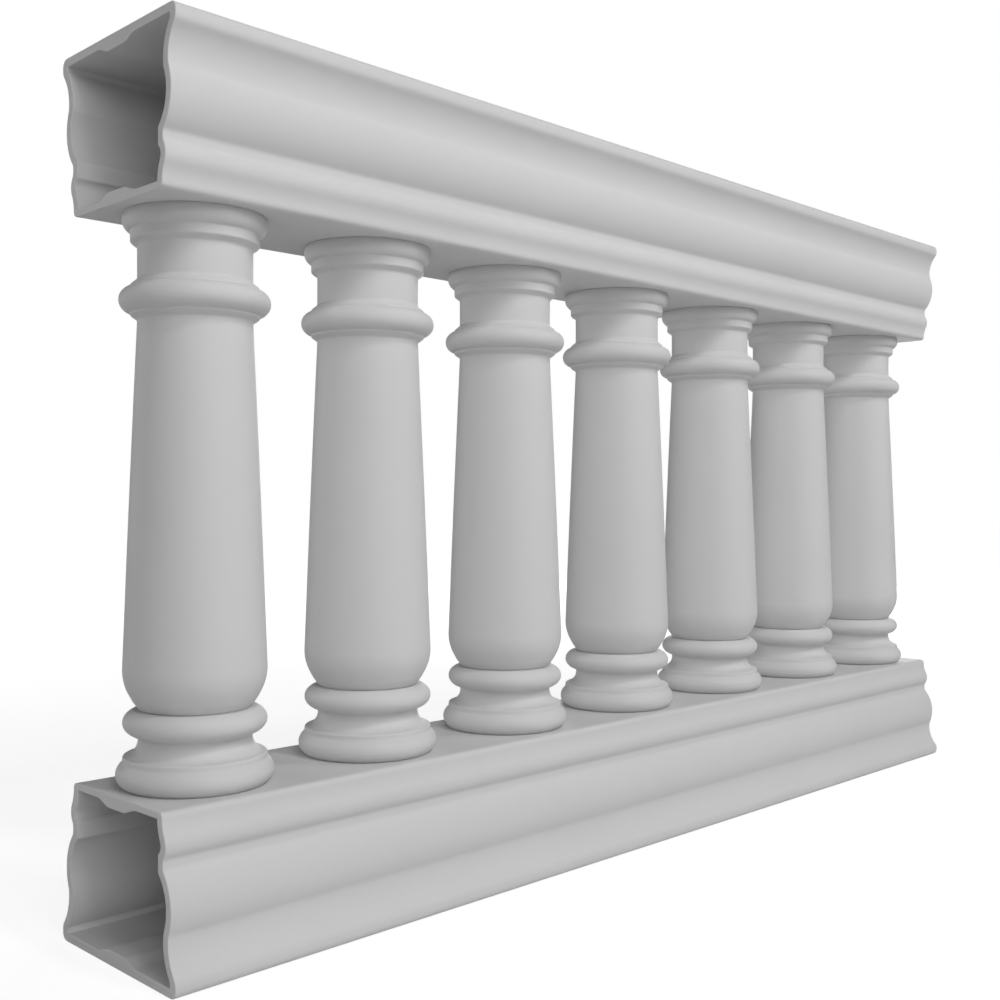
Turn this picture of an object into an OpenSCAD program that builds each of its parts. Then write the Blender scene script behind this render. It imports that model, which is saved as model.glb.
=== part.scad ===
// A straight section of moulded balustrade: two hollow rails, cut square at both ends, and a row of
// turned balusters that stand on the bottom rail and carry the top one.
// X runs along the rails, Y is the depth and Z is up. The origin is the middle of the underside.

/* [Balustrade] */
// Height from the floor to the top of the top rail
overall_height = 914.4; // [850:0.1:1200]
// Number of balusters
baluster_count = 7; // [2:1:9]
// Distance between the axes of neighbouring balusters
spacing = 226.3; // [180:0.1:300]
// Distance from the axis of an end baluster to the cut end of the rails
end_margin = 89.1; // [82:0.1:200]

/* [Rail outline] */
// Height of one rail
rail_height = 167.5; // [166:0.1:190]
// Half width of the rail over its rounded lip
lip_half_width = 112.3; // [111:0.1:114]
// Radius of the rounded lip
lip_r = 8; // [7:0.1:9]
// Height of the flat band at the edge of the lip
lip_band = 5; // [3:0.1:6]
// Half width at the deepest part of the long hollow under the lip
cavetto_half_width = 98.75; // [98:0.05:99.5]
// Radius of the long hollow
cavetto_r = 46.7; // [45:0.1:48]
// Half width at the broad bulge
bulge_half_width = 104.15; // [103.5:0.05:105]
// Radius of the broad bulge
bulge_r = 53; // [51:0.1:55]
// Distance from the outer face to the middle of the bulge
bulge_level = 77.5; // [76:0.1:79]
// Half width at the narrow groove below the bulge
groove_half_width = 89.6; // [89:0.1:91]
// Half width at the bead
bead_half_width = 94.5; // [93.5:0.1:95.5]
// Radius of the bead
bead_r = 18; // [17:0.1:19]
// Distance from the outer face to the middle of the bead
bead_level = 136.1; // [135:0.1:137]
// Half width at the face that carries the balusters
seat_half_width = 88.2; // [87.5:0.1:89]
// Radius of the hollow that leads to that face
seat_cove_r = 33.6; // [32.5:0.1:35]
// Radius of the corner at that face
seat_corner_r = 5; // [3:0.1:6]

/* [Rail walls] */
// Thickness of the outer flat wall
outer_wall = 8.7; // [7:0.1:10]
// Thickness of the flat wall that carries the balusters
seat_wall = 7; // [6:0.1:9]
// Thickness of the moulded side walls
side_wall = 9; // [8:0.1:10]
// Half width of the hollow beside the lip
hollow_lip_half_width = 101.8; // [101:0.1:103]
// Width of the stiffening rib inside each flat wall
rib_width = 75; // [60:1:90]
// Width of the flat crest of the rib
rib_crest = 28; // [20:1:34]
// Height of the rib over the wall
rib_height = 6.3; // [4:0.1:8]

/* [Baluster] */
// Wall thickness of the hollow shaft
shaft_wall = 8; // [6:0.5:10]
// Radius of the neck
neck_r = 58; // [57:0.1:59]
// Radius of the shaft at its widest, near its foot
shaft_r = 72.6; // [70:0.1:74]
// Radius of the rounding that turns the shaft in at its foot
shaft_round_r = 53; // [50:0.5:56]
// Slope of the shaft's lower end, measured from upright
shaft_turn = 29; // [25:0.5:31]
// Height of the widest part of the shaft over the foot of the baluster
shaft_level = 118; // [117:0.5:125]
// Distance from the top of the baluster to the start of its taper
taper_start = 107.3; // [107:0.1:110]

/* [Baluster base] */
// Radius over the base torus
base_r = 79.4; // [78:0.1:81]
// Radius of the base torus in section
base_torus_r = 14; // [13.5:0.1:15]
// Height of the middle of the base torus over the foot
base_torus_level = 12.7; // [12:0.1:13]
// Radius of the fillet on the base torus
base_fillet_r = 72.5; // [72:0.1:74]
// Height of the top of that fillet over the foot
base_fillet_top = 31; // [29:0.1:32]
// Radius at the narrowest part of the hollow over the base
scotia_r = 57.3; // [56:0.1:58]
// Height of that hollow
scotia_height = 16; // [14:0.1:17]
// Radius over the ring under the shaft
foot_ring_r = 72.5; // [70:0.1:74]
// Depth of that ring in section
foot_ring_depth = 18.5; // [17:0.1:20]
// Half the height of that ring
foot_ring_rise = 14.2; // [13.5:0.1:14.5]
// Height of the middle of that ring over the foot
foot_ring_level = 64.7; // [64:0.1:66]
// Radius at which the ring's round top ends
foot_ring_top_r = 62.5; // [61:0.1:64]
// Radius in the narrow quirk between that ring and the shaft
quirk_r = 54.8; // [54:0.1:56]
// Height of the quirk over the foot
quirk_level = 77.4; // [77.3:0.1:77.8]
// Radius of the shaft's lower edge over the quirk
shaft_foot_r = 57; // [56.5:0.1:58]
// Height of that edge over the foot
shaft_foot_level = 78.3; // [78.1:0.1:79]
// Radius of the shaft at the top of the short slope over that edge
shaft_heel_r = 62.6; // [62:0.1:63.5]
// Height of the top of that slope over the foot
shaft_heel_level = 86.2; // [85:0.1:87]

/* [Baluster capital] */
// Radius over the ring below the neck
neck_ring_r = 76.25; // [74:0.05:78]
// Radius of that ring in section
neck_ring_section_r = 12.9; // [12:0.1:13.5]
// Distance from the top of the baluster to the middle of that ring
neck_ring_drop = 87.2; // [86:0.1:88]
// Radius of the small fillets beside the rings
fillet_r = 64.9; // [63:0.1:66]
// Height of the fillets beside the ring below the neck
ring_fillet = 2.5; // [2:0.1:3]
// Height of the slopes between those fillets and the plain parts
ring_chamfer = 5.5; // [4:0.1:6]
// Radius over the capital's top moulding
cap_r = 73.1; // [72:0.1:75]
// Depth of the top moulding in section
cap_depth = 11; // [10.5:0.1:11.5]
// Half the height of the oval that the top moulding is part of
cap_rise = 12.5; // [12.2:0.1:12.8]
// Distance from the top of the baluster to the widest part of the top moulding
cap_drop = 6; // [5.5:0.1:6.3]
// Radius at the lower end of the top moulding
cap_foot_r = 66.5; // [66.2:0.1:67]
// Distance from the top of the baluster to the top of the capital's fillet
cap_fillet_drop = 18; // [17.8:0.1:18.5]
// Distance from the top of the baluster to the underside of the capital
cap_height = 28; // [27:0.1:30]
// Height of the slope between the capital and the neck
cap_chamfer = 5; // [3:0.1:6]

/* [Hidden] */
length = (baluster_count - 1) * spacing + 2 * end_margin;
baluster_names = [for (i = [1:baluster_count]) str("baluster_", i)];
finish = [0.80, 0.80, 0.79];
baluster_height = overall_height - 2 * rail_height;
$fn = 96;

// Points along an arc of an ellipse, without the first where first is 1.
function oval_arc(centre, radii, from, to, steps, first = 0) = [
    for (i = [first:steps])
        let (a = from + (to - from) * i / steps)
        [centre[0] + radii[0] * cos(a), centre[1] + radii[1] * sin(a)]
];

// The same for a circle.
function arc(centre, r, from, to, steps, first = 0) = oval_arc(centre, [r, r], from, to, steps, first);

// Distance along the rail's height between two touching circles whose centres are side apart across it.
function touch(r1, r2, side) = sqrt(pow(r1 + r2, 2) - pow(side, 2));

// Where two circles cross: the crossing that lies to the left on the way from centre a to centre b.
function crossing(a, ra, b, rb) =
    let (d = norm(b - a), along = (d * d + ra * ra - rb * rb) / (2 * d), u = (b - a) / d)
    a + along * u + sqrt(ra * ra - along * along) * [-u[1], u[0]];

function angle_at(centre, p) = atan2(p[1] - centre[1], p[0] - centre[0]);

// The moulded side of a rail as [half width, distance from the outer face], from the lip to the seat.
// Its arcs keep their centres when the outline is moved inwards by inset, and change their radii.
lip_side = lip_half_width - lip_r;
lip_low = lip_r + lip_band;
cavetto_side = cavetto_half_width + cavetto_r;
cavetto = [cavetto_side, lip_low + touch(lip_r, cavetto_r, cavetto_side - lip_side)];
bulge = [bulge_half_width - bulge_r, bulge_level];
bead = [bead_half_width - bead_r, bead_level];
cove_side = seat_half_width + seat_cove_r;
cove = [cove_side, bead_level + touch(bead_r, seat_cove_r, cove_side - bead[0])];
lip_turn = angle_at([lip_side, lip_low], cavetto);
cove_turn = angle_at(bead, cove);
function side_curve(inset, from, first) =
    let (
        cavetto_arc = cavetto_r + inset,
        bulge_arc = bulge_r - inset,
        bead_arc = bead_r - inset,
        cove_arc = seat_cove_r + inset,
        groove = groove_half_width - inset,
        edge = crossing(cavetto, cavetto_arc, bulge, bulge_arc)
    )
    concat(
        arc(cavetto, cavetto_arc, from, angle_at(cavetto, edge), 8, first),
        arc(bulge, bulge_arc, angle_at(bulge, edge), acos((groove - bulge[0]) / bulge_arc), 12, 1),
        arc(bead, bead_arc, -acos((groove - bead[0]) / bead_arc), cove_turn, 8),
        arc(cove, cove_arc, 180 + cove_turn, 180, 4, 1)
    );

// Half of the outer outline, from the middle of the outer face to the seat.
rail_half = concat(
    arc([lip_side, lip_r], lip_r, -90, 0, 8),
    arc([lip_side, lip_low], lip_r, 0, lip_turn, 4),
    side_curve(0, 180 + lip_turn, 1),
    arc([seat_half_width - seat_corner_r, rail_height - seat_corner_r], seat_corner_r, 0, 90, 4)
);

// Half of the hollow's outline, one wall inside the outer one and upright beside the lip.
hollow_turn = acos((cavetto_side - hollow_lip_half_width) / (cavetto_r + side_wall));
hollow_half = concat(
    [[hollow_lip_half_width, outer_wall]],
    side_curve(side_wall, 180 + hollow_turn, 0),
    [[seat_half_width - side_wall, rail_height - seat_wall]]
);

// A closed outline from its right half.
function both_sides(half) = concat(half, [for (i = [len(half) - 1:-1:0]) [-half[i][0], half[i][1]]]);

// Height of a rib at distance w from the middle: flat at its crest, with S-shaped flanks.
rib_flank = (rib_width - rib_crest) / 2;
function rib_rise(w) = rib_height * (1 + cos(180 * max(0, abs(w) - rib_crest / 2) / rib_flank)) / 2;
rib_steps = 8;
rib_places = concat(
    [for (i = [0:rib_steps]) rib_crest / 2 + rib_flank * (1 - i / rib_steps)],
    [for (i = [0:rib_steps]) -rib_crest / 2 - rib_flank * i / rib_steps]
);

// One rib, rising from a wall at level 0.
module rib() {
    root = 1;
    crest = [for (w = rib_places) [w, rib_rise(w)]];
    polygon(concat(crest, [[-rib_width / 2, -root], [rib_width / 2, -root]]));
}

// The hollow inside a rail, between its walls and ribs.
module rail_hollow() {
    difference() {
        polygon(both_sides(hollow_half));
        translate([0, outer_wall]) rib();
        translate([0, rail_height - seat_wall]) mirror([0, 1]) rib();
    }
}

// A rail that lies on its outer face, with the seat for the balusters on top.
module rail() {
    translate([-length / 2, 0, 0]) rotate([90, 0, 90]) linear_extrude(length) difference() {
        polygon(both_sides(rail_half));
        rail_hollow();
    }
}

module bottom_rail() {
    color(finish) rail();
}

module top_rail() {
    color(finish) translate([0, 0, overall_height]) mirror([0, 0, 1]) rail();
}

// The baluster's outline as [radius, height over its foot], from the foot to the top.
base_side = base_r - base_torus_r;
base_low_turn = asin(base_torus_level / base_torus_r);
base_top_turn = acos((base_fillet_r - base_side) / base_torus_r);
scotia_radii = [base_fillet_r - scotia_r, scotia_height];
foot_ring_radii = [foot_ring_depth, foot_ring_rise];
foot_ring_side = foot_ring_r - foot_ring_depth;
foot_ring = [foot_ring_side, foot_ring_level];
foot_ring_low_turn = 78;
foot_ring_top_turn = acos((foot_ring_top_r - foot_ring_side) / foot_ring_depth);
shaft_side = shaft_r - shaft_round_r;
taper_top = baluster_height - taper_start;
taper_slope = atan2(shaft_r - neck_r, taper_top - shaft_level);
ring_side = neck_ring_r - neck_ring_section_r;
ring_level = baluster_height - neck_ring_drop;
ring_turn = acos((fillet_r - ring_side) / neck_ring_section_r);
ring_half = neck_ring_section_r * sin(ring_turn) + ring_fillet;
cap_side = cap_r - cap_depth;
cap_level = baluster_height - cap_drop;
cap_low_turn = acos((cap_foot_r - cap_side) / cap_depth);
cap_top_turn = asin(cap_drop / cap_rise);
cap_foot = baluster_height - cap_height;
baluster_outline = concat(
    arc([base_side, base_torus_level], base_torus_r, -base_low_turn, base_top_turn, 12),
    oval_arc([base_fillet_r, base_fillet_top + scotia_height], scotia_radii, 270, 180, 8),
    oval_arc(foot_ring, foot_ring_radii, -foot_ring_low_turn, foot_ring_top_turn, 14),
    [[quirk_r, quirk_level]],
    [[shaft_foot_r, shaft_foot_level]],
    [[shaft_heel_r, shaft_heel_level]],
    arc([shaft_side, shaft_level], shaft_round_r, -shaft_turn, taper_slope, 8),
    [[neck_r, taper_top]],
    [[fillet_r, ring_level - ring_half]],
    arc([ring_side, ring_level], neck_ring_section_r, -ring_turn, ring_turn, 14),
    [[fillet_r, ring_level + ring_half]],
    [[neck_r, ring_level + ring_half + ring_chamfer]],
    [[neck_r, cap_foot - cap_chamfer]],
    [[fillet_r, cap_foot]],
    [[fillet_r, baluster_height - cap_fillet_drop]],
    oval_arc([cap_side, cap_level], [cap_depth, cap_rise], -cap_low_turn, cap_top_turn, 10)
);

// The hollow inside the baluster, from the top to the foot.
bore_r = neck_r - shaft_wall;
baluster_bore = [
    [bore_r, baluster_height],
    [bore_r, taper_top],
    [shaft_r - shaft_wall, shaft_level],
    [bore_r, shaft_heel_level],
    [bore_r, 0]
];

// One baluster, number i of the row, on the bottom rail.
module baluster(i) {
    color(finish) translate([(i - (baluster_count + 1) / 2) * spacing, 0, rail_height])
        rotate_extrude() polygon(concat(baluster_outline, baluster_bore));
}

bottom_rail();
top_rail();
for (i = [1:baluster_count]) baluster(i);
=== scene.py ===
import math
import bpy
import numpy as np
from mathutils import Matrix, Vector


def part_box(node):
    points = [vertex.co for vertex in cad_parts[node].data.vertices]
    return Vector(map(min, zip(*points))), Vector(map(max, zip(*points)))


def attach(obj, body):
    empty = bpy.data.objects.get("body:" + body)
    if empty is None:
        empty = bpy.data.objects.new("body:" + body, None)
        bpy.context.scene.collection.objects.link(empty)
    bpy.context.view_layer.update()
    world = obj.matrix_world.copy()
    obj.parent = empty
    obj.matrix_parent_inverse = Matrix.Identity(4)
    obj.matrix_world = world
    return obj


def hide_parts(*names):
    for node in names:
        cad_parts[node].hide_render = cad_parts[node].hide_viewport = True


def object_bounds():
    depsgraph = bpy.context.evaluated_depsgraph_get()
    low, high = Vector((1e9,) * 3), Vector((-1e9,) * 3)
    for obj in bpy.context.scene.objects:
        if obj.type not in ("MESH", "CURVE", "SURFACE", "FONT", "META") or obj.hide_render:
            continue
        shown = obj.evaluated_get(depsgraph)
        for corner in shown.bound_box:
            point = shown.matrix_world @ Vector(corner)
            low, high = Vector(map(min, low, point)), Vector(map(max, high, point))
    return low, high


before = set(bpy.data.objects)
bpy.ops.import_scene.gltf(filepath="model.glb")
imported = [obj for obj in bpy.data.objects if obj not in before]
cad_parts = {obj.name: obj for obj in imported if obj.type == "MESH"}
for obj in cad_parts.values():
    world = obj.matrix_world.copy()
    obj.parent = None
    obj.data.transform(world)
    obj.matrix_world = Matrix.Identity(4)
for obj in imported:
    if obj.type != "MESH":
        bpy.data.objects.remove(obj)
cadLow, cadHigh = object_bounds()
print("frame loaded")

mm = 0.001


# A mesh from a closed sheet of points[row, column]: both ways round it joins its own start.
# Faces are turned so that the volume they enclose counts as positive.
def closedSheet(name, points, material, nodeName):
    rows, columns = points.shape[:2]
    index = np.arange(rows * columns).reshape(rows, columns)
    nextRow = np.roll(index, -1, axis=0)
    nextColumn = np.roll(index, -1, axis=1)
    both = np.roll(nextRow, -1, axis=1)
    quads = np.stack([index, nextRow, both, nextColumn], axis=-1).reshape(-1, 4)
    flat = points.reshape(-1, 3)
    corner = flat[quads]
    volume = np.einsum("ij,ij->i", corner[:, 0], np.cross(corner[:, 1], corner[:, 2])).sum()
    volume += np.einsum("ij,ij->i", corner[:, 0], np.cross(corner[:, 2], corner[:, 3])).sum()
    if volume < 0:
        quads = quads[:, ::-1]
    mesh = bpy.data.meshes.new(name)
    mesh.vertices.add(len(flat))
    mesh.vertices.foreach_set("co", flat.astype(np.float32).ravel())
    mesh.loops.add(quads.size)
    mesh.loops.foreach_set("vertex_index", quads.astype(np.int32).ravel())
    mesh.polygons.add(len(quads))
    mesh.polygons.foreach_set("loop_start", np.arange(0, quads.size, 4, dtype=np.int32))
    mesh.polygons.foreach_set("use_smooth", np.ones(len(quads), dtype=bool))
    mesh.update(calc_edges=True)
    mesh.materials.append(material)
    piece = bpy.data.objects.new(name, mesh)
    bpy.context.scene.collection.objects.link(piece)
    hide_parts(nodeName)
    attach(piece, "root")
    return piece


# Points on an ellipse's arc: centre plus radii times cosine and sine, from one angle to another.
def arc(centre, radii, start, end, steps):
    angle = np.radians(np.linspace(start, end, steps))
    wide, high = np.broadcast_to(radii, 2)
    return np.stack([centre[0] + wide * np.cos(angle), centre[1] + high * np.sin(angle)], axis=1)


# Evenly spaced points along a line of points, found at equal shares of its length.
def evenly(line, count):
    step = np.hypot(*np.diff(line, axis=0).T)
    along = np.concatenate([[0], np.cumsum(step)])
    wanted = np.linspace(0, along[-1], count)
    return np.stack([np.interp(wanted, along, line[:, axis]) for axis in (0, 1)], axis=1)


# The corners of a line made soft: each inner point becomes a bell-weighted mean of its neighbours.
# reach is the bell's spread in points. The ends are carried on by reflection, so they stay put.
def softened(line, reach):
    span = int(math.ceil(3 * reach))
    weight = np.exp(-0.5 * (np.arange(-span, span + 1) / reach) ** 2)
    weight /= weight.sum()
    before = 2 * line[0] - line[span:0:-1]
    after = 2 * line[-1] - line[-2:-span - 2:-1]
    padded = np.concatenate([before, line, after])
    return np.stack([np.convolve(padded[:, axis], weight, "valid") for axis in (0, 1)], axis=1)


# Where two circles cross, on the left of the way from the first centre to the second.
def crossing(first, firstRadius, second, secondRadius):
    gap = np.subtract(second, first)
    distance = math.hypot(*gap)
    along = (distance ** 2 + firstRadius ** 2 - secondRadius ** 2) / (2 * distance)
    aside = math.sqrt(firstRadius ** 2 - along ** 2)
    unit = gap / distance
    return np.array(first) + along * unit + aside * np.array([-unit[1], unit[0]])


# The angle in degrees of the way from a centre to a point.
def bearing(centre, point):
    return math.degrees(math.atan2(point[1] - centre[1], point[0] - centre[0]))


# Distance along the height between touching circles whose centres are a given distance apart across it.
def touching(firstRadius, secondRadius, across):
    return math.sqrt((firstRadius + secondRadius) ** 2 - across ** 2)


# The rail's moulding in millimetres: half widths, radii, and levels measured from its outer face.
# The softenings are in points. stations is the number of even places along half the length, and
# endStations are three more places, at these distances from the cut end.
railShape = {
    "height": 167.5,
    "lip": 112.3, "lipRadius": 8, "lipBand": 5,
    "cavetto": 98.75, "cavettoRadius": 46.7,
    "bulge": 104.15, "bulgeRadius": 53, "bulgeLevel": 77.5,
    "groove": 89.6,
    "bead": 94.5, "beadRadius": 18, "beadLevel": 136.1,
    "seat": 88.2, "seatCove": 33.6, "seatCorner": 5,
    "outerWall": 8.7, "seatWall": 7, "sideWall": 9, "hollowLip": 101.8,
    "ribWidth": 75, "ribCrest": 28, "ribRise": 6.3,
    "pointGap": 1.25, "flatPoints": 80, "seatPoints": 70,
    "outerSoftening": 1.5, "hollowSoftening": 0.6,
    "cutEdge": 0.7, "cutEdgeSteps": 4, "cutRim": 1.2, "stations": 8, "endStations": (1.5, 4, 12),
}


# The moulded side from lip to seat: long hollow, broad bulge, groove, bead and small hollow, as arcs
# that keep their centres and change radius when the outline moves inwards by inset. startAngle gives
# the angle on the long hollow's arc where the side begins, from its centre and radius.
def railSide(shape, inset, startAngle=None):
    lipCentre = (shape["lip"] - shape["lipRadius"], shape["lipRadius"] + shape["lipBand"])
    cavettoAcross = shape["cavetto"] + shape["cavettoRadius"]
    cavettoDrop = touching(shape["lipRadius"], shape["cavettoRadius"], cavettoAcross - lipCentre[0])
    cavetto = (cavettoAcross, lipCentre[1] + cavettoDrop)
    bulge = (shape["bulge"] - shape["bulgeRadius"], shape["bulgeLevel"])
    bead = (shape["bead"] - shape["beadRadius"], shape["beadLevel"])
    coveAcross = shape["seat"] + shape["seatCove"]
    coveDrop = touching(shape["beadRadius"], shape["seatCove"], coveAcross - bead[0])
    cove = (coveAcross, shape["beadLevel"] + coveDrop)
    lipTurn = bearing(lipCentre, cavetto)
    coveTurn = bearing(bead, cove)
    groove = shape["groove"] - inset
    hollowArc, bulgeArc = shape["cavettoRadius"] + inset, shape["bulgeRadius"] - inset
    beadArc, coveArc = shape["beadRadius"] - inset, shape["seatCove"] + inset
    edge = crossing(cavetto, hollowArc, bulge, bulgeArc)
    bulgeEnd = math.degrees(math.acos((groove - bulge[0]) / bulgeArc))
    beadStart = -math.degrees(math.acos((groove - bead[0]) / beadArc))
    start = 180 + lipTurn if startAngle is None else startAngle(cavetto, hollowArc)
    line = np.concatenate([
        arc(cavetto, hollowArc, start, bearing(cavetto, edge), 40),
        arc(bulge, bulgeArc, bearing(bulge, edge), bulgeEnd, 60),
        arc(bead, beadArc, beadStart, coveTurn, 30),
        arc(cove, coveArc, 180 + coveTurn, 180, 16),
    ])
    return line, lipCentre, lipTurn


# Height of a rib over its wall: full on the crest, then down its flanks as half a cosine wave.
def ribRise(shape, across):
    flank = (shape["ribWidth"] - shape["ribCrest"]) / 2
    share = np.clip((np.abs(across) - shape["ribCrest"] / 2) / flank, 0, 1)
    return shape["ribRise"] * (1 + np.cos(np.pi * share)) / 2


# Outer and inner loop of the rail's section as [half width, level], point for point opposite each other.
# Each half runs from the middle of the outer face round the lip and down the side to the seat's middle.
def railLoops(shape):
    side, lipCentre, lipTurn = railSide(shape, 0)
    lipTop = arc((lipCentre[0], shape["lipRadius"]), shape["lipRadius"], -90, 0, 24)
    lipLow = arc(lipCentre, shape["lipRadius"], 0, lipTurn, 14)
    cornerCentre = (shape["seat"] - shape["seatCorner"], shape["height"] - shape["seatCorner"])
    corner = arc(cornerCentre, shape["seatCorner"], 0, 90, 14)
    lipHalf, cornerHalf = len(lipTop) // 2, len(corner) // 2
    outer = [
        np.concatenate([[[0, 0]], lipTop[:lipHalf]]),
        np.concatenate([lipTop[lipHalf - 1:], lipLow, side, corner[:cornerHalf]]),
        np.concatenate([corner[cornerHalf - 1:], [[0, shape["height"]]]]),
    ]
    hollowLip, hollowSeat = shape["hollowLip"], shape["seat"] - shape["sideWall"]
    seatLevel = shape["height"] - shape["seatWall"]

    def fromLip(centre, radius):
        return 180 + math.degrees(math.acos((centre[0] - hollowLip) / radius))

    hollow, _, _ = railSide(shape, shape["sideWall"], fromLip)
    outerFlat = np.linspace(0, hollowLip, shape["flatPoints"])
    seatFlat = np.linspace(hollowSeat, 0, shape["seatPoints"])
    inner = [
        np.stack([outerFlat, shape["outerWall"] + ribRise(shape, outerFlat)], axis=1),
        np.concatenate([[[hollowLip, shape["outerWall"]]], hollow, [[hollowSeat, seatLevel]]]),
        np.stack([seatFlat, seatLevel - ribRise(shape, seatFlat)], axis=1),
    ]
    lengths = [np.hypot(*np.diff(part, axis=0).T).sum() for part in outer]
    counts = [int(round(length / shape["pointGap"])) for length in lengths]
    loops = []
    for parts, softening in ((outer, shape["outerSoftening"]), (inner, shape["hollowSoftening"])):
        spread = [evenly(part, count + 1)[:-1] for part, count in zip(parts, counts)]
        half = softened(np.concatenate(spread + [parts[2][-1:]]), softening)
        half[0, 0] = half[-1, 0] = 0
        mirrored = half[-2:0:-1] * [-1, 1]
        loops.append(np.concatenate([half, mirrored]))
    return loops


# Unit normals of a closed loop that point out of it, from the turned tangent at each point.
def loopNormals(loop):
    tangent = np.roll(loop, -1, axis=0) - np.roll(loop, 1, axis=0)
    normal = np.stack([tangent[:, 1], -tangent[:, 0]], axis=1)
    normal /= np.linalg.norm(normal, axis=1)[:, None]
    area = (loop[:, 0] * np.roll(loop[:, 1], -1) - np.roll(loop[:, 0], -1) * loop[:, 1]).sum()
    return normal if area > 0 else -normal


# A rail as one closed sheet: the outer skin runs along its length, turns in over a small round edge,
# crosses the cut end to the inner loop, and comes back along the hollow to the other cut end.
def makeRail(name, shape, outerFaceLevel, upwards, material):
    outer, inner = railLoops(shape)
    outerSkin = (outer, loopNormals(outer), -1)
    innerSkin = (inner, loopNormals(inner), 1)
    low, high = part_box(name)
    edge = shape["cutEdge"]
    half = (high.x - low.x) / 2 / mm
    middle = (high.x + low.x) / 2
    turn = np.radians(np.linspace(0, 90, shape["cutEdgeSteps"]))
    first, second, third = shape["endStations"]
    nearEnd = [half - edge, half - first, half - second]
    places = np.concatenate([nearEnd, np.linspace(half - third, 0, shape["stations"])])
    places = np.concatenate([-places, places[-2::-1]])

    # Each row is a place along the rail, a loop, its normals, and how far the loop is moved along them.
    def straight(skin, placesAlong):
        loop, normal, _ = skin
        return [(along, loop, normal, 0) for along in placesAlong]

    # A quarter circle between a side wall and the cut end at end = 1 or -1: along by its sine, and
    # into the wall by one minus its cosine.
    def roundEdge(skin, end, angles):
        loop, normal, into = skin
        return [
            (end * (half - edge + edge * math.sin(a)), loop, normal, into * edge * (1 - math.cos(a)))
            for a in angles
        ]

    def rim(skin, end):
        loop, normal, into = skin
        return [(end * half, loop, normal, into * (edge + shape["cutRim"]))]

    rows = straight(outerSkin, places[1:-1])
    rows += roundEdge(outerSkin, 1, turn) + rim(outerSkin, 1)
    rows += rim(innerSkin, 1) + roundEdge(innerSkin, 1, turn[::-1])
    rows += straight(innerSkin, places[-2:0:-1])
    rows += roundEdge(innerSkin, -1, turn) + rim(innerSkin, -1)
    rows += rim(outerSkin, -1) + roundEdge(outerSkin, -1, turn[::-1])
    section = np.stack([loop + normal * offset for _, loop, normal, offset in rows])
    along = np.array([row[0] for row in rows])
    points = np.empty(section.shape[:2] + (3,))
    points[..., 0] = middle + along[:, None] * mm
    points[..., 1] = section[..., 0] * mm
    points[..., 2] = outerFaceLevel + upwards * section[..., 1] * mm
    return closedSheet("moulded_" + name, points, material, name)


# The baluster in millimetres: radii, and heights over its foot or drops from its top. The softenings
# are in points.
balusterShape = {
    "base": 79.4, "baseTorus": 14, "baseTorusLevel": 12.7,
    "baseFillet": 72.5, "baseFilletTop": 31,
    "scotia": 57.3, "scotiaHeight": 16,
    "footRing": 72.5, "footRingDepth": 18.5, "footRingRise": 14.2, "footRingLevel": 64.7,
    "footRingTurn": 78, "footRingTop": 62.5,
    "quirk": 54.8, "quirkLevel": 77.4, "shaftFoot": 57, "shaftFootLevel": 78.3,
    "shaftHeel": 62.6, "shaftHeelLevel": 86.2,
    "shaft": 72.6, "shaftRound": 53, "shaftTurn": 29, "shaftLevel": 118,
    "neck": 58, "taperStart": 107.3, "swell": 0.35,
    "neckRing": 76.25, "neckRingSection": 12.9, "neckRingDrop": 87.2,
    "fillet": 64.9, "ringFillet": 2.5, "ringChamfer": 5.5,
    "cap": 73.1, "capDepth": 11, "capRise": 12.5, "capDrop": 6, "capFoot": 66.5,
    "capFilletTop": 18, "capHeight": 28, "capChamfer": 5,
    "wall": 8, "borePoints": 24, "sides": 84, "pointGap": 1.05, "taperPoints": 60, "taperGap": 30,
    "baseSoftening": 1.3, "ringSoftening": 0.45, "headSoftening": 0.5,
}


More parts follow.
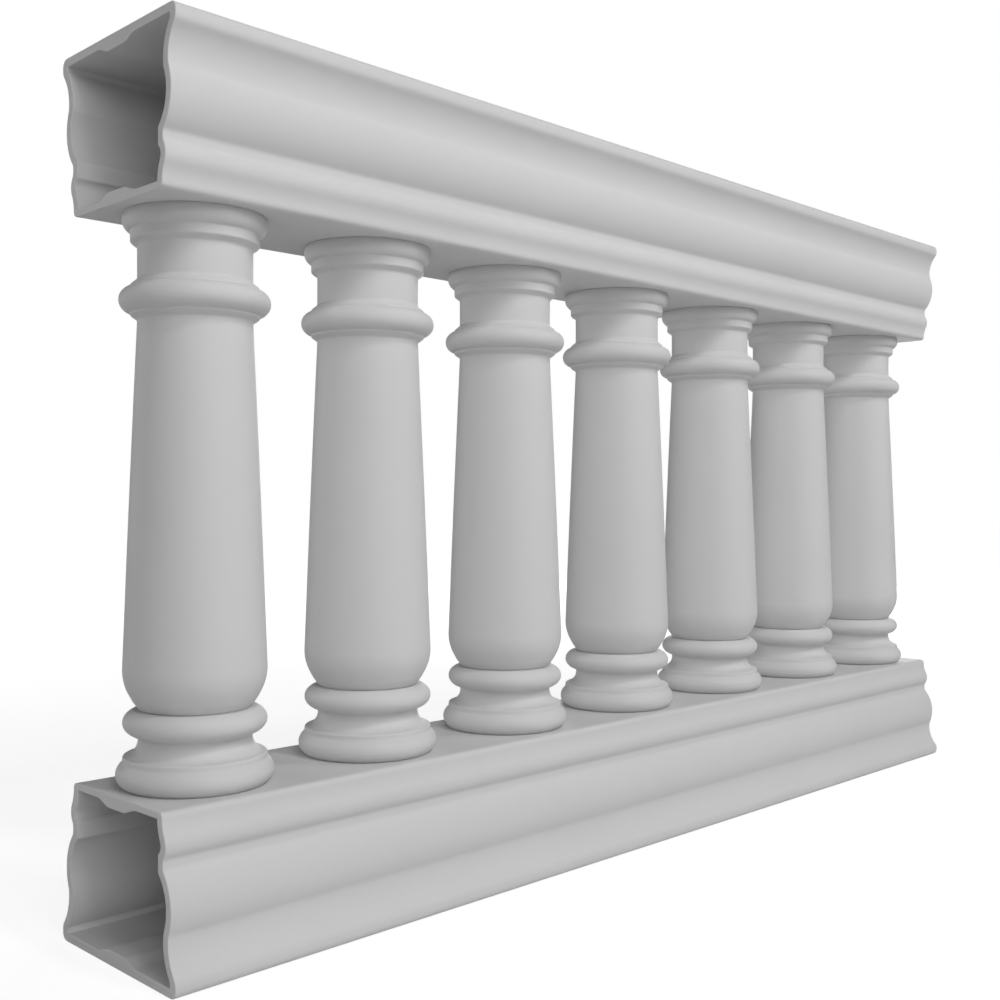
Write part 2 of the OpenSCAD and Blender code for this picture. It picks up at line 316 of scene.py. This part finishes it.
# Outline of the turned shape as [radius, height] in four runs: base torus, fillet and hollow; ring,
# narrow quirk and bulb; the tapering shaft; then fillets beside a ring, a plain neck and a capital.
def balusterOutline(shape, height):
    baseAcross = shape["base"] - shape["baseTorus"]
    baseLowTurn = math.degrees(math.asin(shape["baseTorusLevel"] / shape["baseTorus"]))
    baseTopTurn = math.degrees(math.acos((shape["baseFillet"] - baseAcross) / shape["baseTorus"]))
    ringAcross = shape["footRing"] - shape["footRingDepth"]
    ringTurn = math.degrees(math.acos((shape["footRingTop"] - ringAcross) / shape["footRingDepth"]))
    shaftAcross = shape["shaft"] - shape["shaftRound"]
    taperTop = height - shape["taperStart"]
    taperSlope = math.degrees(math.atan2(shape["shaft"] - shape["neck"], taperTop - shape["shaftLevel"]))
    base = np.concatenate([
        arc((baseAcross, shape["baseTorusLevel"]), shape["baseTorus"], -baseLowTurn, baseTopTurn, 40),
        arc((shape["baseFillet"], shape["baseFilletTop"] + shape["scotiaHeight"]),
            (shape["baseFillet"] - shape["scotia"], shape["scotiaHeight"]), 270, 180, 24),
    ])
    bulb = np.concatenate([
        base[-1:],
        arc((ringAcross, shape["footRingLevel"]), (shape["footRingDepth"], shape["footRingRise"]),
            -shape["footRingTurn"], ringTurn, 40),
        [[shape["quirk"], shape["quirkLevel"]]],
        [[shape["shaftFoot"], shape["shaftFootLevel"]]],
        [[shape["shaftHeel"], shape["shaftHeelLevel"]]],
        arc((shaftAcross, shape["shaftLevel"]), shape["shaftRound"], -shape["shaftTurn"], taperSlope, 40),
    ])
    share = np.linspace(0, 1, shape["taperPoints"])[:, None]
    taper = bulb[-1] + share * (np.array([shape["neck"], taperTop]) - bulb[-1])
    taper[:, 0] += shape["swell"] * np.sin(np.pi * share[:, 0])
    ringAcross = shape["neckRing"] - shape["neckRingSection"]
    ringLevel = height - shape["neckRingDrop"]
    ringTurn = math.degrees(math.acos((shape["fillet"] - ringAcross) / shape["neckRingSection"]))
    ringHalf = shape["neckRingSection"] * math.sin(math.radians(ringTurn)) + shape["ringFillet"]
    capAcross = shape["cap"] - shape["capDepth"]
    capRadii = (shape["capDepth"], shape["capRise"])
    capStart = -math.degrees(math.acos((shape["capFoot"] - capAcross) / shape["capDepth"]))
    capEnd = math.degrees(math.asin(shape["capDrop"] / shape["capRise"]))
    head = np.concatenate([
        taper[-2:],
        [[shape["fillet"], ringLevel - ringHalf]],
        arc((ringAcross, ringLevel), shape["neckRingSection"], -ringTurn, ringTurn, 36),
        [[shape["fillet"], ringLevel + ringHalf]],
        [[shape["neck"], ringLevel + ringHalf + shape["ringChamfer"]]],
        [[shape["neck"], height - shape["capHeight"] - shape["capChamfer"]]],
        [[shape["fillet"], height - shape["capHeight"]]],
        [[shape["fillet"], height - shape["capFilletTop"]]],
        arc((capAcross, height - shape["capDrop"]), capRadii, capStart, capEnd, 30),
    ])
    return base, bulb, taper[:-1], head


# One run of the outline, evenly pointed and softened at its corners where reach is over 0.
def pointed(run, gap, reach):
    length = np.hypot(*np.diff(run, axis=0).T).sum()
    points = evenly(run, int(round(length / gap)) + 1)
    return softened(points, reach) if reach else points


# A baluster as one closed sheet: its outline goes up outside and comes back down its bore, and every
# point of that line is carried round the axis as a circle.
def makeBaluster(name, shape, material):
    low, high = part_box(name)
    height = (high.z - low.z) / mm
    base, bulb, taper, head = balusterOutline(shape, height)
    outline = np.concatenate([
        pointed(base, shape["pointGap"], shape["baseSoftening"])[:-1],
        pointed(bulb, shape["pointGap"], shape["ringSoftening"])[:-1],
        pointed(taper, shape["taperGap"], 0)[:-1],
        pointed(head, shape["pointGap"], shape["headSoftening"]),
    ])
    bore = shape["neck"] - shape["wall"]
    inside = np.array([
        [bore, height],
        [bore, height - shape["taperStart"]],
        [shape["shaft"] - shape["wall"], shape["shaftLevel"]],
        [bore, shape["shaftHeelLevel"]],
        [bore, 0],
    ])
    line = np.concatenate([outline, evenly(inside, shape["borePoints"])])
    angle = np.linspace(0, 2 * np.pi, shape["sides"], endpoint=False)
    points = np.empty((len(line), len(angle), 3))
    points[..., 0] = (low.x + high.x) / 2 + line[:, :1] * mm * np.cos(angle)
    points[..., 1] = (low.y + high.y) / 2 + line[:, :1] * mm * np.sin(angle)
    points[..., 2] = low.z + line[:, 1:] * mm
    return closedSheet("turned_" + name, points, material, name)


gelCoatFinish = {
    "colour": (0.600, 0.600, 0.600), "rough": 0.62, "sheen": 0.25,
    "cloud": 0.012, "cloudScale": 7, "cloudDetail": 5, "cloudLow": 0.3, "cloudHigh": 0.7,
    "peel": 0.25, "peelScale": 420, "peelDetail": 2, "peelDepth": 0.0002,
    "roughSpread": 0.05,
}


# Gel coat. Its colour is the given one times 1 + cloud * noise, its roughness is the given one plus a
# small share of the same noise, and its normals carry a fine orange-peel noise.
def gelCoatGroup(finish):
    group = bpy.data.node_groups.new("gelCoat", "ShaderNodeTree")
    face = group.interface
    face.new_socket("Colour", in_out="INPUT", socket_type="NodeSocketColor")
    face.new_socket("Cloud", in_out="INPUT", socket_type="NodeSocketFloat")
    face.new_socket("Peel", in_out="INPUT", socket_type="NodeSocketFloat")
    face.new_socket("Rough", in_out="INPUT", socket_type="NodeSocketFloat")
    face.new_socket("Colour", in_out="OUTPUT", socket_type="NodeSocketColor")
    face.new_socket("Roughness", in_out="OUTPUT", socket_type="NodeSocketFloat")
    face.new_socket("Normal", in_out="OUTPUT", socket_type="NodeSocketVector")
    nodes, links = group.nodes, group.links
    inside, outside = nodes.new("NodeGroupInput"), nodes.new("NodeGroupOutput")
    place = nodes.new("ShaderNodeTexCoord")
    cloud = nodes.new("ShaderNodeTexNoise")
    cloud.inputs["Scale"].default_value = finish["cloudScale"]
    cloud.inputs["Detail"].default_value = finish["cloudDetail"]
    peel = nodes.new("ShaderNodeTexNoise")
    peel.inputs["Scale"].default_value = finish["peelScale"]
    peel.inputs["Detail"].default_value = finish["peelDetail"]
    for noise in (cloud, peel):
        links.new(place.outputs["Object"], noise.inputs["Vector"])
    spread = nodes.new("ShaderNodeMapRange")
    spread.inputs["From Min"].default_value = finish["cloudLow"]
    spread.inputs["From Max"].default_value = finish["cloudHigh"]
    spread.inputs["To Min"].default_value = -1
    links.new(cloud.outputs["Fac"], spread.inputs["Value"])
    amount = nodes.new("ShaderNodeMath")
    amount.operation = "MULTIPLY_ADD"
    amount.inputs[2].default_value = 1
    links.new(spread.outputs["Result"], amount.inputs[0])
    links.new(inside.outputs["Cloud"], amount.inputs[1])
    tint = nodes.new("ShaderNodeVectorMath")
    tint.operation = "SCALE"
    links.new(inside.outputs["Colour"], tint.inputs[0])
    links.new(amount.outputs[0], tint.inputs["Scale"])
    links.new(tint.outputs[0], outside.inputs["Colour"])
    rough = nodes.new("ShaderNodeMath")
    rough.operation = "MULTIPLY_ADD"
    rough.inputs[1].default_value = finish["roughSpread"]
    links.new(spread.outputs["Result"], rough.inputs[0])
    links.new(inside.outputs["Rough"], rough.inputs[2])
    links.new(rough.outputs[0], outside.inputs["Roughness"])
    bump = nodes.new("ShaderNodeBump")
    bump.inputs["Distance"].default_value = finish["peelDepth"]
    links.new(peel.outputs["Fac"], bump.inputs["Height"])
    links.new(inside.outputs["Peel"], bump.inputs["Strength"])
    links.new(bump.outputs["Normal"], outside.inputs["Normal"])
    return group


# A material whose colour, roughness and normals come from the gel coat group.
def gelCoatMaterial(name, group, finish):
    material = bpy.data.materials.new(name)
    material.use_nodes = True
    nodes, links = material.node_tree.nodes, material.node_tree.links
    shader = nodes["Principled BSDF"]
    shader.inputs["Specular IOR Level"].default_value = finish["sheen"]
    coat = nodes.new("ShaderNodeGroup")
    coat.node_tree = group
    coat.inputs["Colour"].default_value = (*finish["colour"], 1)
    coat.inputs["Cloud"].default_value = finish["cloud"]
    coat.inputs["Peel"].default_value = finish["peel"]
    coat.inputs["Rough"].default_value = finish["rough"]
    links.new(coat.outputs["Colour"], shader.inputs["Base Color"])
    links.new(coat.outputs["Roughness"], shader.inputs["Roughness"])
    links.new(coat.outputs["Normal"], shader.inputs["Normal"])
    return material


# The camera stands level with the middle of the object, off its left front corner. Its place is given
# from that middle in metres, its turn in degrees and its lens in millimetres on a 36 mm sensor.
cameraSpot = {
    "across": -1.34766, "ahead": -1.10348, "turn": -44.9526,
    "lens": 43.923, "sensor": 36, "shift": 0.005984,
}


def makeCamera(spot):
    data = bpy.data.cameras.new("viewer")
    data.lens = spot["lens"]
    data.sensor_width = spot["sensor"]
    data.shift_x = spot["shift"]
    camera = bpy.data.objects.new("viewer", data)
    middle = (cadLow + cadHigh) / 2
    camera.location = (middle.x + spot["across"], middle.y + spot["ahead"], middle.z)
    camera.rotation_euler = (math.radians(90), 0, math.radians(spot["turn"]))
    bpy.context.scene.collection.objects.link(camera)
    bpy.context.scene.camera = camera


makeCamera(cameraSpot)
print("camera placed")

coatGroup = gelCoatGroup(gelCoatFinish)
coatMaterial = gelCoatMaterial("gelCoat", coatGroup, gelCoatFinish)
makeRail("bottom_rail", railShape, cadLow.z, 1, coatMaterial)
makeRail("top_rail", railShape, cadHigh.z, -1, coatMaterial)
print("rails moulded")
balusterNames = sorted(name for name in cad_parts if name.startswith("baluster"))
for balusterName in balusterNames:
    makeBaluster(balusterName, balusterShape, coatMaterial)
print("balusters turned")


floorFinish = {
    "colour": (0.80, 0.80, 0.80), "side": 40,
    "seenShare": 0.35, "seenGlow": 0.84, "near": 1.2, "far": 3.5,
}


# A flat floor at the object's foot, far wider than the view. It lights the object as a pale matt floor.
# The camera sees a part of that tone plus a glow that rises to white with distance from the middle, so
# the floor is white where it is open and keeps a faint shadow near the object.
def makeFloor(finish):
    half = finish["side"] / 2
    corners = [(-half, -half, 0), (half, -half, 0), (half, half, 0), (-half, half, 0)]
    mesh = bpy.data.meshes.new("studioFloor")
    mesh.from_pydata(corners, [], [(0, 1, 2, 3)])
    material = bpy.data.materials.new("studioFloor")
    material.use_nodes = True
    nodes, links = material.node_tree.nodes, material.node_tree.links
    nodes.clear()
    matt = nodes.new("ShaderNodeBsdfDiffuse")
    matt.inputs["Color"].default_value = (*finish["colour"], 1)
    seen = nodes.new("ShaderNodeBsdfDiffuse")
    seen.inputs["Color"].default_value = (*[c * finish["seenShare"] for c in finish["colour"]], 1)
    place = nodes.new("ShaderNodeTexCoord")
    away = nodes.new("ShaderNodeVectorMath")
    away.operation = "LENGTH"
    rising = nodes.new("ShaderNodeMapRange")
    rising.interpolation_type = "SMOOTHSTEP"
    rising.inputs["From Min"].default_value = finish["near"]
    rising.inputs["From Max"].default_value = finish["far"]
    rising.inputs["To Min"].default_value = finish["seenGlow"]
    glow = nodes.new("ShaderNodeEmission")
    both = nodes.new("ShaderNodeAddShader")
    path = nodes.new("ShaderNodeLightPath")
    mix = nodes.new("ShaderNodeMixShader")
    output = nodes.new("ShaderNodeOutputMaterial")
    links.new(place.outputs["Object"], away.inputs[0])
    links.new(away.outputs["Value"], rising.inputs["Value"])
    links.new(rising.outputs["Result"], glow.inputs["Strength"])
    links.new(seen.outputs[0], both.inputs[0])
    links.new(glow.outputs[0], both.inputs[1])
    links.new(path.outputs["Is Camera Ray"], mix.inputs[0])
    links.new(matt.outputs[0], mix.inputs[1])
    links.new(both.outputs[0], mix.inputs[2])
    links.new(mix.outputs[0], output.inputs["Surface"])
    mesh.materials.append(material)
    floor = bpy.data.objects.new("studioFloor", mesh)
    bpy.context.scene.collection.objects.link(floor)


makeFloor(floorFinish)


# Soft lamps round the object: each has its direction in degrees (turned from the front towards the
# right, and up), its distance and its side in metres, and its power in watts.
lamps = {
    "leftFront": {"turn": -30, "rise": 30, "away": 5, "side": 3, "power": 75.7},
    "leftHigh": {"turn": -20, "rise": 40, "away": 5, "side": 0.6, "power": 23.8},
    "left": {"turn": -45, "rise": 10, "away": 5, "side": 2.5, "power": 18.9},
    "above": {"turn": 0, "rise": 50, "away": 5, "side": 0.6, "power": 56.8},
    "rightFront": {"turn": 45, "rise": 27.6, "away": 5, "side": 1, "power": 59.8},
    "leftBack": {"turn": -150, "rise": 0, "away": 5, "side": 3, "power": 101},
    "rightBack": {"turn": 120, "rise": 0, "away": 5, "side": 3, "power": 162.6},
}


# A square area lamp at middle + away * (sin turn cos rise, -cos turn cos rise, sin rise), turned to
# face the middle. The camera doesn't see it.
def makeLamp(name, lamp):
    data = bpy.data.lights.new(name, "AREA")
    data.size = lamp["side"]
    data.energy = lamp["power"]
    light = bpy.data.objects.new(name, data)
    turn, rise = math.radians(lamp["turn"]), math.radians(lamp["rise"])
    flat = math.cos(rise)
    way = (math.sin(turn) * flat, -math.cos(turn) * flat, math.sin(rise))
    middle = (cadLow + cadHigh) / 2
    light.location = [m + w * lamp["away"] for m, w in zip(middle, way)]
    light.rotation_euler = (math.radians(90) - rise, 0, turn)
    light.visible_camera = False
    bpy.context.scene.collection.objects.link(light)


for lampName, lamp in lamps.items():
    makeLamp(lampName, lamp)


# The world is white to the camera and dark to everything else, so it adds no light.
def makeSurroundings():
    world = bpy.data.worlds.new("surroundings")
    bpy.context.scene.world = world
    world.use_nodes = True
    nodes, links = world.node_tree.nodes, world.node_tree.links
    nodes.clear()
    path = nodes.new("ShaderNodeLightPath")
    back = nodes.new("ShaderNodeBackground")
    back.inputs["Color"].default_value = (1, 1, 1, 1)
    links.new(path.outputs["Is Camera Ray"], back.inputs["Strength"])
    output = nodes.new("ShaderNodeOutputWorld")
    links.new(back.outputs[0], output.inputs["Surface"])


makeSurroundings()
bpy.context.scene.view_settings.view_transform = "Standard"
print("lit")
